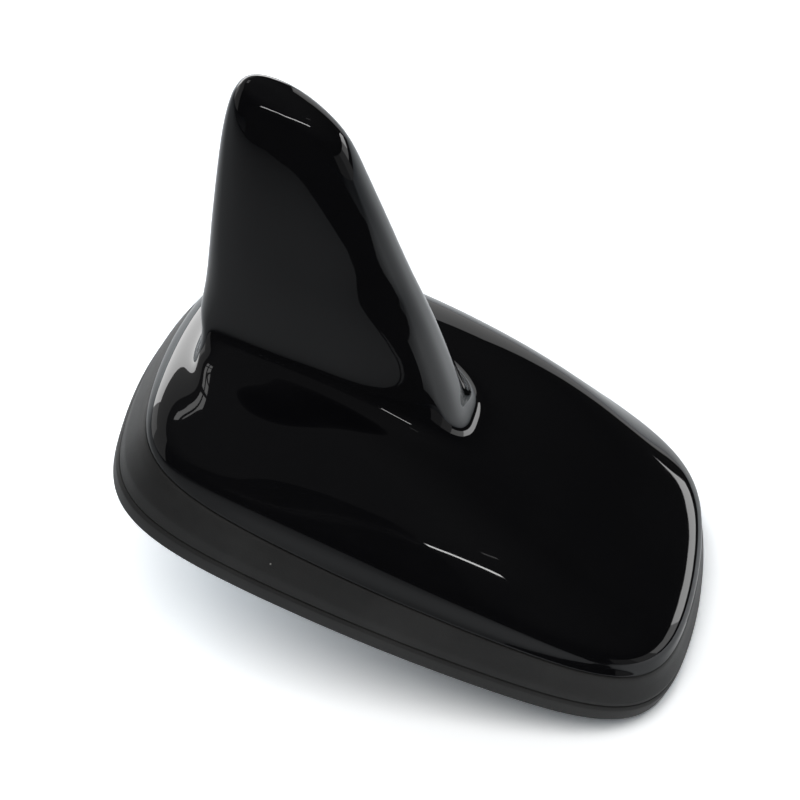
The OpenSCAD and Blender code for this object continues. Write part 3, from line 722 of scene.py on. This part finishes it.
class ANTENNA_OT_boss_seal(bpy.types.Operator):
    """Makes the seal round the boss, with two beads that press on the roof"""
    bl_idname = "antenna.boss_seal"
    bl_label = "Boss seal"

    def execute(self, context):
        s = sizes()
        bm = bmesh.new()
        out = s.seal_gap + s.seal_width
        bmesh.ops.create_grid(bm, x_segments=1, y_segments=1, size=0.5)
        bmesh.ops.scale(bm, verts=bm.verts,
                        vec=(s.boss_length + 2 * out, s.boss_width + 2 * out, 1))
        bmesh.ops.bevel(bm, geom=bm.verts, offset=s.seal_radius, offset_type="OFFSET",
                        segments=10, profile=0.5, affect="VERTICES", material=-1)
        middle = list(bm.faces)
        for vert in bm.verts:
            vert.co.z = SEAL_FOOT
        done = 0.0
        for share, lift in SEAL_PROFILE:
            bmesh.ops.inset_region(bm, faces=middle, thickness=(share - done) * s.seal_width,
                                   use_boundary=True, use_even_offset=True)
            for vert in middle[0].verts:
                vert.co.z = lift * MM
            done = share
        bmesh.ops.delete(bm, geom=middle, context="FACES")
        raised = bmesh.ops.extrude_face_region(bm, geom=bm.faces[:])["geom"]
        for vert in [v for v in raised if isinstance(v, bmesh.types.BMVert)]:
            vert.co.z = s.flange_thickness
        rubber = moulded("seal rubber", colours().seal, 0.5, 0.65, 3200.0, 0.00003, specks=0.02)
        finish_piece(bm, "boss_seal_ring", rubber, 0, ["boss_seal"])
        return {"FINISHED"}


class ANTENNA_OT_fixing_thread(bpy.types.Operator):
    """Cuts the look of the fixing thread: a ridge that winds up the bore"""
    bl_idname = "antenna.fixing_thread"
    bl_label = "Fixing thread"

    def execute(self, context):
        s = sizes()
        bm = bmesh.new()
        core = s.thread_core / 2
        made = bmesh.ops.create_circle(bm, cap_ends=True, segments=4, radius=1.0)["verts"]
        low = -s.boss_drop + THREAD_START
        for vert, (r, z) in zip(made, THREAD_RIDGE):
            vert.co = (core + r * MM, 0, low + z * s.thread_pitch)
        turns = int((s.thread_depth - THREAD_ENDS) / s.thread_pitch)
        bmesh.ops.spin(bm, geom=bm.verts[:] + bm.edges[:] + bm.faces[:], cent=(0, 0, 0),
                       axis=(0, 0, 1), dvec=(0, 0, s.thread_pitch / THREAD_STEPS),
                       angle=math.tau * turns, steps=THREAD_STEPS * turns, use_merge=False)
        steel = metal("thread flanks", colours().casting, 0.22, 0.34, 2600.0, 0.000006)
        finish_piece(bm, "fixing_thread", steel)
        return {"FINISHED"}


class ANTENNA_OT_fixings(bpy.types.Operator):
    """Finishes the base plate, the clips and the screws"""
    bl_idname = "antenna.fixings"
    bl_label = "Base plate and fixings"

    def execute(self, context):
        c = colours()
        dress(metal("die-cast zinc", c.casting, 0.34, 0.5, 1500.0, 0.00003, tarnish=0.2),
              "base_plate")
        dress(metal("spring steel", c.spring, 0.2, 0.32, 900.0, 0.000008, (6, 1, 1), 0.1),
              "retaining_clips")
        dress(metal("zinc plate", (0.46, 0.46, 0.45), 0.28, 0.4, 1800.0, 0.00001),
              "board_screws", "cover_screws")
        return {"FINISHED"}


class ANTENNA_OT_connectors(bpy.types.Operator):
    """Finishes the coaxial connectors"""
    bl_idname = "antenna.connectors"
    bl_label = "Connectors"

    def execute(self, context):
        c = colours()
        dress(moulded("connector plastic", c.housing, 0.36, 0.48, 2400.0, 0.000012, contrast=0.05),
              "connector_housings")
        dress(metal("flashed contact", c.contact, 0.16, 0.28, 2600.0, 0.000004),
              "connector_shells", "connector_pins", "contact_spring")
        dress(moulded("white insulator", (0.80, 0.80, 0.76), 0.3, 0.42, 2000.0, 0.00001,
                      contrast=0.03), "connector_insulators")
        return {"FINISHED"}


class ANTENNA_OT_electronics(bpy.types.Operator):
    """Finishes the boards and everything on them"""
    bl_idname = "antenna.electronics"
    bl_label = "Boards and radiators"

    def execute(self, context):
        c = colours()
        dress(moulded("solder mask", c.board, 0.22, 0.34, 1100.0, 0.00001), "main_board",
              "fin_board")
        dress(moulded("chip epoxy", (0.02, 0.02, 0.022), 0.4, 0.55, 3000.0, 0.00001),
              "board_chips")
        dress(metal("tinned sheet", (0.62, 0.62, 0.6), 0.24, 0.4, 900.0, 0.00001, (1, 5, 1)),
              "shield_can", "patch_pin")
        dress(moulded("foam tape", (0.04, 0.04, 0.045), 0.7, 0.85, 2200.0, 0.00008),
              "patch_pad")
        dress(moulded("fired ceramic", (0.70, 0.62, 0.47), 0.45, 0.6, 2600.0, 0.000015),
              "patch_ceramic")
        dress(metal("printed silver", (0.76, 0.75, 0.72), 0.3, 0.45, 2600.0, 0.00001),
              "patch_electrode")
        dress(metal("bare copper", c.copper, 0.22, 0.38, 1500.0, 0.000008), "fin_trace",
              "coil_winding")
        dress(moulded("clamp plastic", (0.03, 0.03, 0.032), 0.4, 0.55, 2600.0, 0.00001),
              "fin_clamp")
        dress(moulded("bobbin plastic", (0.74, 0.7, 0.58), 0.38, 0.5, 2600.0, 0.00001),
              "coil_former")
        return {"FINISHED"}


class ANTENNA_OT_stage(bpy.types.Operator):
    """Lays the white sheet, hangs the lamps and places the camera"""
    bl_idname = "antenna.stage"
    bl_label = "Stage"

    def execute(self, context):
        stage = context.scene.antenna_stage
        tilt = Matrix.Rotation(-stage.tilt, 4, "Y")
        touching = Vector((sizes().length / 2 - 0.5 * MM, 0, 0))  # the lip's front edge
        up = tilt @ Vector((0, 0, 1))
        self.floor = Matrix.Translation(up * (touching.dot(up) - 0.1 * MM)) @ tilt
        self.heart = Matrix.Translation((0, 0, HEART)) @ tilt
        self.lay_sheet(stage)
        self.hang_room(stage)
        self.hang_cards()
        self.hang_strip()
        self.hang_screens()
        self.hang_lamps()
        self.light_world(context)
        self.place_camera(context, stage)
        context.scene.view_settings.view_transform = "Standard"
        return {"FINISHED"}

    def stage_piece(self, bm, name, material):
        piece = new_object(bm, name, material)
        return piece

    def toward(self, azimuth, elevation):
        """Direction over the sheet: azimuth 0 points to the camera's side, 90 to the nose."""
        a, e = math.radians(azimuth), math.radians(elevation)
        way = Vector((math.sin(a) * math.cos(e), -math.cos(a) * math.cos(e), math.sin(e)))
        return self.heart.to_3x3() @ way

    def along(self, tree, place, direction):
        """How far a shaded point lies in a direction."""
        made = add_node(tree, "VectorMath", {"operation": "DOT_PRODUCT"})
        feed(tree, made.inputs[0], place)
        feed(tree, made.inputs[1], direction)
        return made.outputs["Value"]

    def lay_sheet(self, stage):
        """White sheet: white where no shadow lies on it, and in the gloss duller to the front."""
        bm = bmesh.new()
        bmesh.ops.create_circle(bm, cap_ends=True, segments=64, radius=SHEET_RADIUS,
                                matrix=self.floor)
        material = bpy.data.materials.new("white sheet")
        material.use_nodes = True
        tree = material.node_tree
        tree.nodes.clear()
        rays = tree.nodes.new("ShaderNodeLightPath")
        place = tree.nodes.new("ShaderNodeTexCoord").outputs["Object"]
        behind = between(tree, self.along(tree, place, self.toward(150, 0)), -0.12, 0.12, 0.0,
                         SHEET_BEHIND - stage.mirrored)
        front = between(tree, self.along(tree, place, self.toward(0, 0)), 0.11, 0.33, 1.0, 0.3)
        shine = maths(tree, "MULTIPLY", maths(tree, "ADD", behind, stage.mirrored), front)
        tone = mix_colour(tree, rays.outputs["Is Camera Ray"], rgba(stage.sheet),
                          rgba([SHEET_SEEN] * 3))
        glossy = maths(tree, "MAXIMUM", rays.outputs["Is Glossy Ray"],
                       rays.outputs["Is Transmission Ray"])
        tone = mix_colour(tree, glossy, tone, shine)
        diffuse = add_node(tree, "BsdfDiffuse", Color=tone)
        clear = tree.nodes.new("ShaderNodeBsdfTransparent")
        side = tree.nodes.new("ShaderNodeNewGeometry").outputs["Backfacing"]
        both = add_node(tree, "MixShader", Fac=side)
        tree.links.new(diffuse.outputs[0], both.inputs[1])
        tree.links.new(clear.outputs[0], both.inputs[2])
        end = tree.nodes.new("ShaderNodeOutputMaterial")
        tree.links.new(both.outputs[0], end.inputs["Surface"])
        self.stage_piece(bm, "sheet", material)

    def hang_room(self, stage):
        """Dim room that only reflections see, so that the gloss stays black."""
        bm = bmesh.new()
        bmesh.ops.create_uvsphere(bm, u_segments=48, v_segments=24, radius=ROOM_RADIUS,
                                  matrix=self.heart)
        material = self.glow("dim room", 1.0)
        tree = material.node_tree
        place = tree.nodes.new("ShaderNodeTexCoord").outputs["Object"]
        height = self.along(tree, place, self.toward(0, 90))
        level = between(tree, height, 1.1, 2.6, ROOM_LOW * stage.room, stage.room)
        tree.links.new(level, tree.nodes["Emission"].inputs["Strength"])
        self.only_reflected(self.stage_piece(bm, "room", material))

    def hang_cards(self):
        """Cards that only reflections see: the walls, and the windows with their panes."""
        cards = list(CARDS)
        for left in PANE_AZIMUTHS:
            for low in PANE_ELEVATIONS:
                right, high = left + PANE_WIDTH, low + PANE_HEIGHT
                cards.append((f"pane_{-left}_{low:.0f}",
                              ((left, low), (right, low), (right, high), (left, high)),
                              PANE_STRENGTH, PANE_DISTANCE))
        for name, corners, strength, distance in cards:
            bm = bmesh.new()
            verts = [bm.verts.new(self.toward(*corner)) for corner in corners]
            bmesh.ops.poke(bm, faces=bmesh.ops.contextual_create(bm, geom=verts)["faces"])
            bmesh.ops.subdivide_edges(bm, edges=bm.edges, cuts=CARD_CUTS, use_grid_fill=True)
            for vert in bm.verts:
                vert.co = self.heart.translation + vert.co.normalized() * distance
            self.only_reflected(self.stage_piece(bm, name, self.glow(name, strength)))

    def hang_strip(self):
        """Strip light that only reflections see."""
        bm = bmesh.new()
        for azimuth, elevation in STRIP_PATH:
            for rise in (-STRIP_HALF, STRIP_HALF):
                way = self.toward(azimuth, elevation + rise)
                bm.verts.new(self.heart.translation + way * STRIP_DISTANCE)
        bm.verts.ensure_lookup_table()
        for k in range(0, 2 * len(STRIP_PATH) - 2, 2):
            bmesh.ops.contextual_create(bm, geom=[bm.verts[k + n] for n in (0, 1, 3, 2)])
        strip = self.stage_piece(bm, "strip_light", self.glow("strip_light", STRIP_STRENGTH))
        self.only_reflected(strip)

    def hang_screens(self):
        """Dark screens that only reflections see: before the strip light and over the sheet."""
        for name, corners in SCREENS:
            bm = bmesh.new()
            verts = [bm.verts.new(self.floor @ (Vector(corner) * MM)) for corner in corners]
            bmesh.ops.contextual_create(bm, geom=verts)
            self.only_reflected(self.stage_piece(bm, name, self.glow(name, SCREEN_STRENGTH)))

    def glow(self, name, strength):
        """A plain emission."""
        material = bpy.data.materials.new(name)
        material.use_nodes = True
        tree = material.node_tree
        tree.nodes.clear()
        light = add_node(tree, "Emission", Strength=strength)
        end = tree.nodes.new("ShaderNodeOutputMaterial")
        tree.links.new(light.outputs[0], end.inputs["Surface"])
        return material

    def only_reflected(self, piece):
        piece.visible_camera = False
        piece.visible_diffuse = False
        piece.visible_shadow = False
        piece.visible_transmission = False
        piece.visible_volume_scatter = False

    def hang_lamps(self):
        """Soft lamps: the main one high on the camera's side, a cooler one behind to the left."""
        for name, azimuth, elevation, across, watts, tint in LAMPS:
            light = bpy.data.lights.new(name, "AREA")
            light.shape = "DISK"
            light.size = across
            light.energy = watts
            light.color = tint
            lamp = bpy.data.objects.new(name, light)
            bpy.context.scene.collection.objects.link(lamp)
            way = self.toward(azimuth, elevation)
            turn = way.to_track_quat("Z", "Y").to_matrix().to_4x4()
            place = self.heart.translation + way * LAMP_DISTANCE
            lamp.matrix_world = Matrix.Translation(place) @ turn
            lamp.visible_glossy = False

    def light_world(self, context):
        """A bluish fill that rays from the camera and from mirrors see as white."""
        world = bpy.data.worlds.new("studio")
        context.scene.world = world
        world.use_nodes = True
        tree = world.node_tree
        tree.nodes.clear()
        rays = tree.nodes.new("ShaderNodeLightPath")
        seen = maths(tree, "MAXIMUM", rays.outputs["Is Camera Ray"],
                     maths(tree, "MAXIMUM", rays.outputs["Is Glossy Ray"],
                           rays.outputs["Is Transmission Ray"]))
        fill = add_node(tree, "Background", Color=FILL_COLOUR, Strength=FILL_STRENGTH)
        white = add_node(tree, "Background", Color=(1, 1, 1, 1), Strength=1.0)
        both = add_node(tree, "MixShader", Fac=seen)
        tree.links.new(fill.outputs[0], both.inputs[1])
        tree.links.new(white.outputs[0], both.inputs[2])
        end = tree.nodes.new("ShaderNodeOutputWorld")
        tree.links.new(both.outputs[0], end.inputs["Surface"])

    def place_camera(self, context, stage):
        """Camera over the near side, turned as the stage settings say."""
        data = bpy.data.cameras.new("camera")
        data.sensor_width = 36.0
        data.lens = stage.lens
        data.clip_start = 0.01
        data.clip_end = 20.0
        camera = bpy.data.objects.new("camera", data)
        context.scene.collection.objects.link(camera)
        a, e = stage.azimuth, stage.elevation
        back = Vector((math.sin(a) * math.cos(e), -math.cos(a) * math.cos(e), math.sin(e)))
        turn = back.to_track_quat("Z", "Y").to_matrix() @ Matrix.Rotation(stage.roll, 3, "Z")
        camera.matrix_world = Matrix.Translation(stage.place) @ turn.to_4x4()
        context.scene.camera = camera


class ANTENNA_PT_panel(bpy.types.Panel):
    """Lists the antenna's pieces, its sizes and its colours"""
    bl_idname = "ANTENNA_PT_panel"
    bl_label = "Roof antenna"
    bl_space_type = "VIEW_3D"
    bl_region_type = "UI"
    bl_category = "Roof antenna"

    def draw(self, context):
        for operator in OPERATORS:
            self.layout.operator(operator.bl_idname)
        for label, group in (("Sizes", context.scene.antenna_sizes),
                             ("Colours", context.scene.antenna_colours),
                             ("Stage", context.scene.antenna_stage)):
            box = self.layout.box()
            box.label(text=label)
            for key in group.__annotations__:
                box.prop(group, key)


OPERATORS = (
    ANTENNA_OT_cover, ANTENNA_OT_skirt, ANTENNA_OT_boss_seal, ANTENNA_OT_fixing_thread,
    ANTENNA_OT_fixings, ANTENNA_OT_connectors, ANTENNA_OT_electronics, ANTENNA_OT_stage,
)
GROUPS = (AntennaSizes, AntennaColours, AntennaStage)


def register():
    for item in GROUPS + OPERATORS + (ANTENNA_PT_panel,):
        bpy.utils.register_class(item)
    bpy.types.Scene.antenna_sizes = bpy.props.PointerProperty(type=AntennaSizes)
    bpy.types.Scene.antenna_colours = bpy.props.PointerProperty(type=AntennaColours)
    bpy.types.Scene.antenna_stage = bpy.props.PointerProperty(type=AntennaStage)


def unregister():
    del bpy.types.Scene.antenna_sizes
    del bpy.types.Scene.antenna_colours
    del bpy.types.Scene.antenna_stage
    for item in reversed(GROUPS + OPERATORS + (ANTENNA_PT_panel,)):
        bpy.utils.unregister_class(item)


def main():
    register()
    for name in ("cover", "skirt", "boss_seal", "fixing_thread", "fixings", "connectors",
                 "electronics", "stage"):
        getattr(bpy.ops.antenna, name)()


if __name__ == "__main__":
    main()
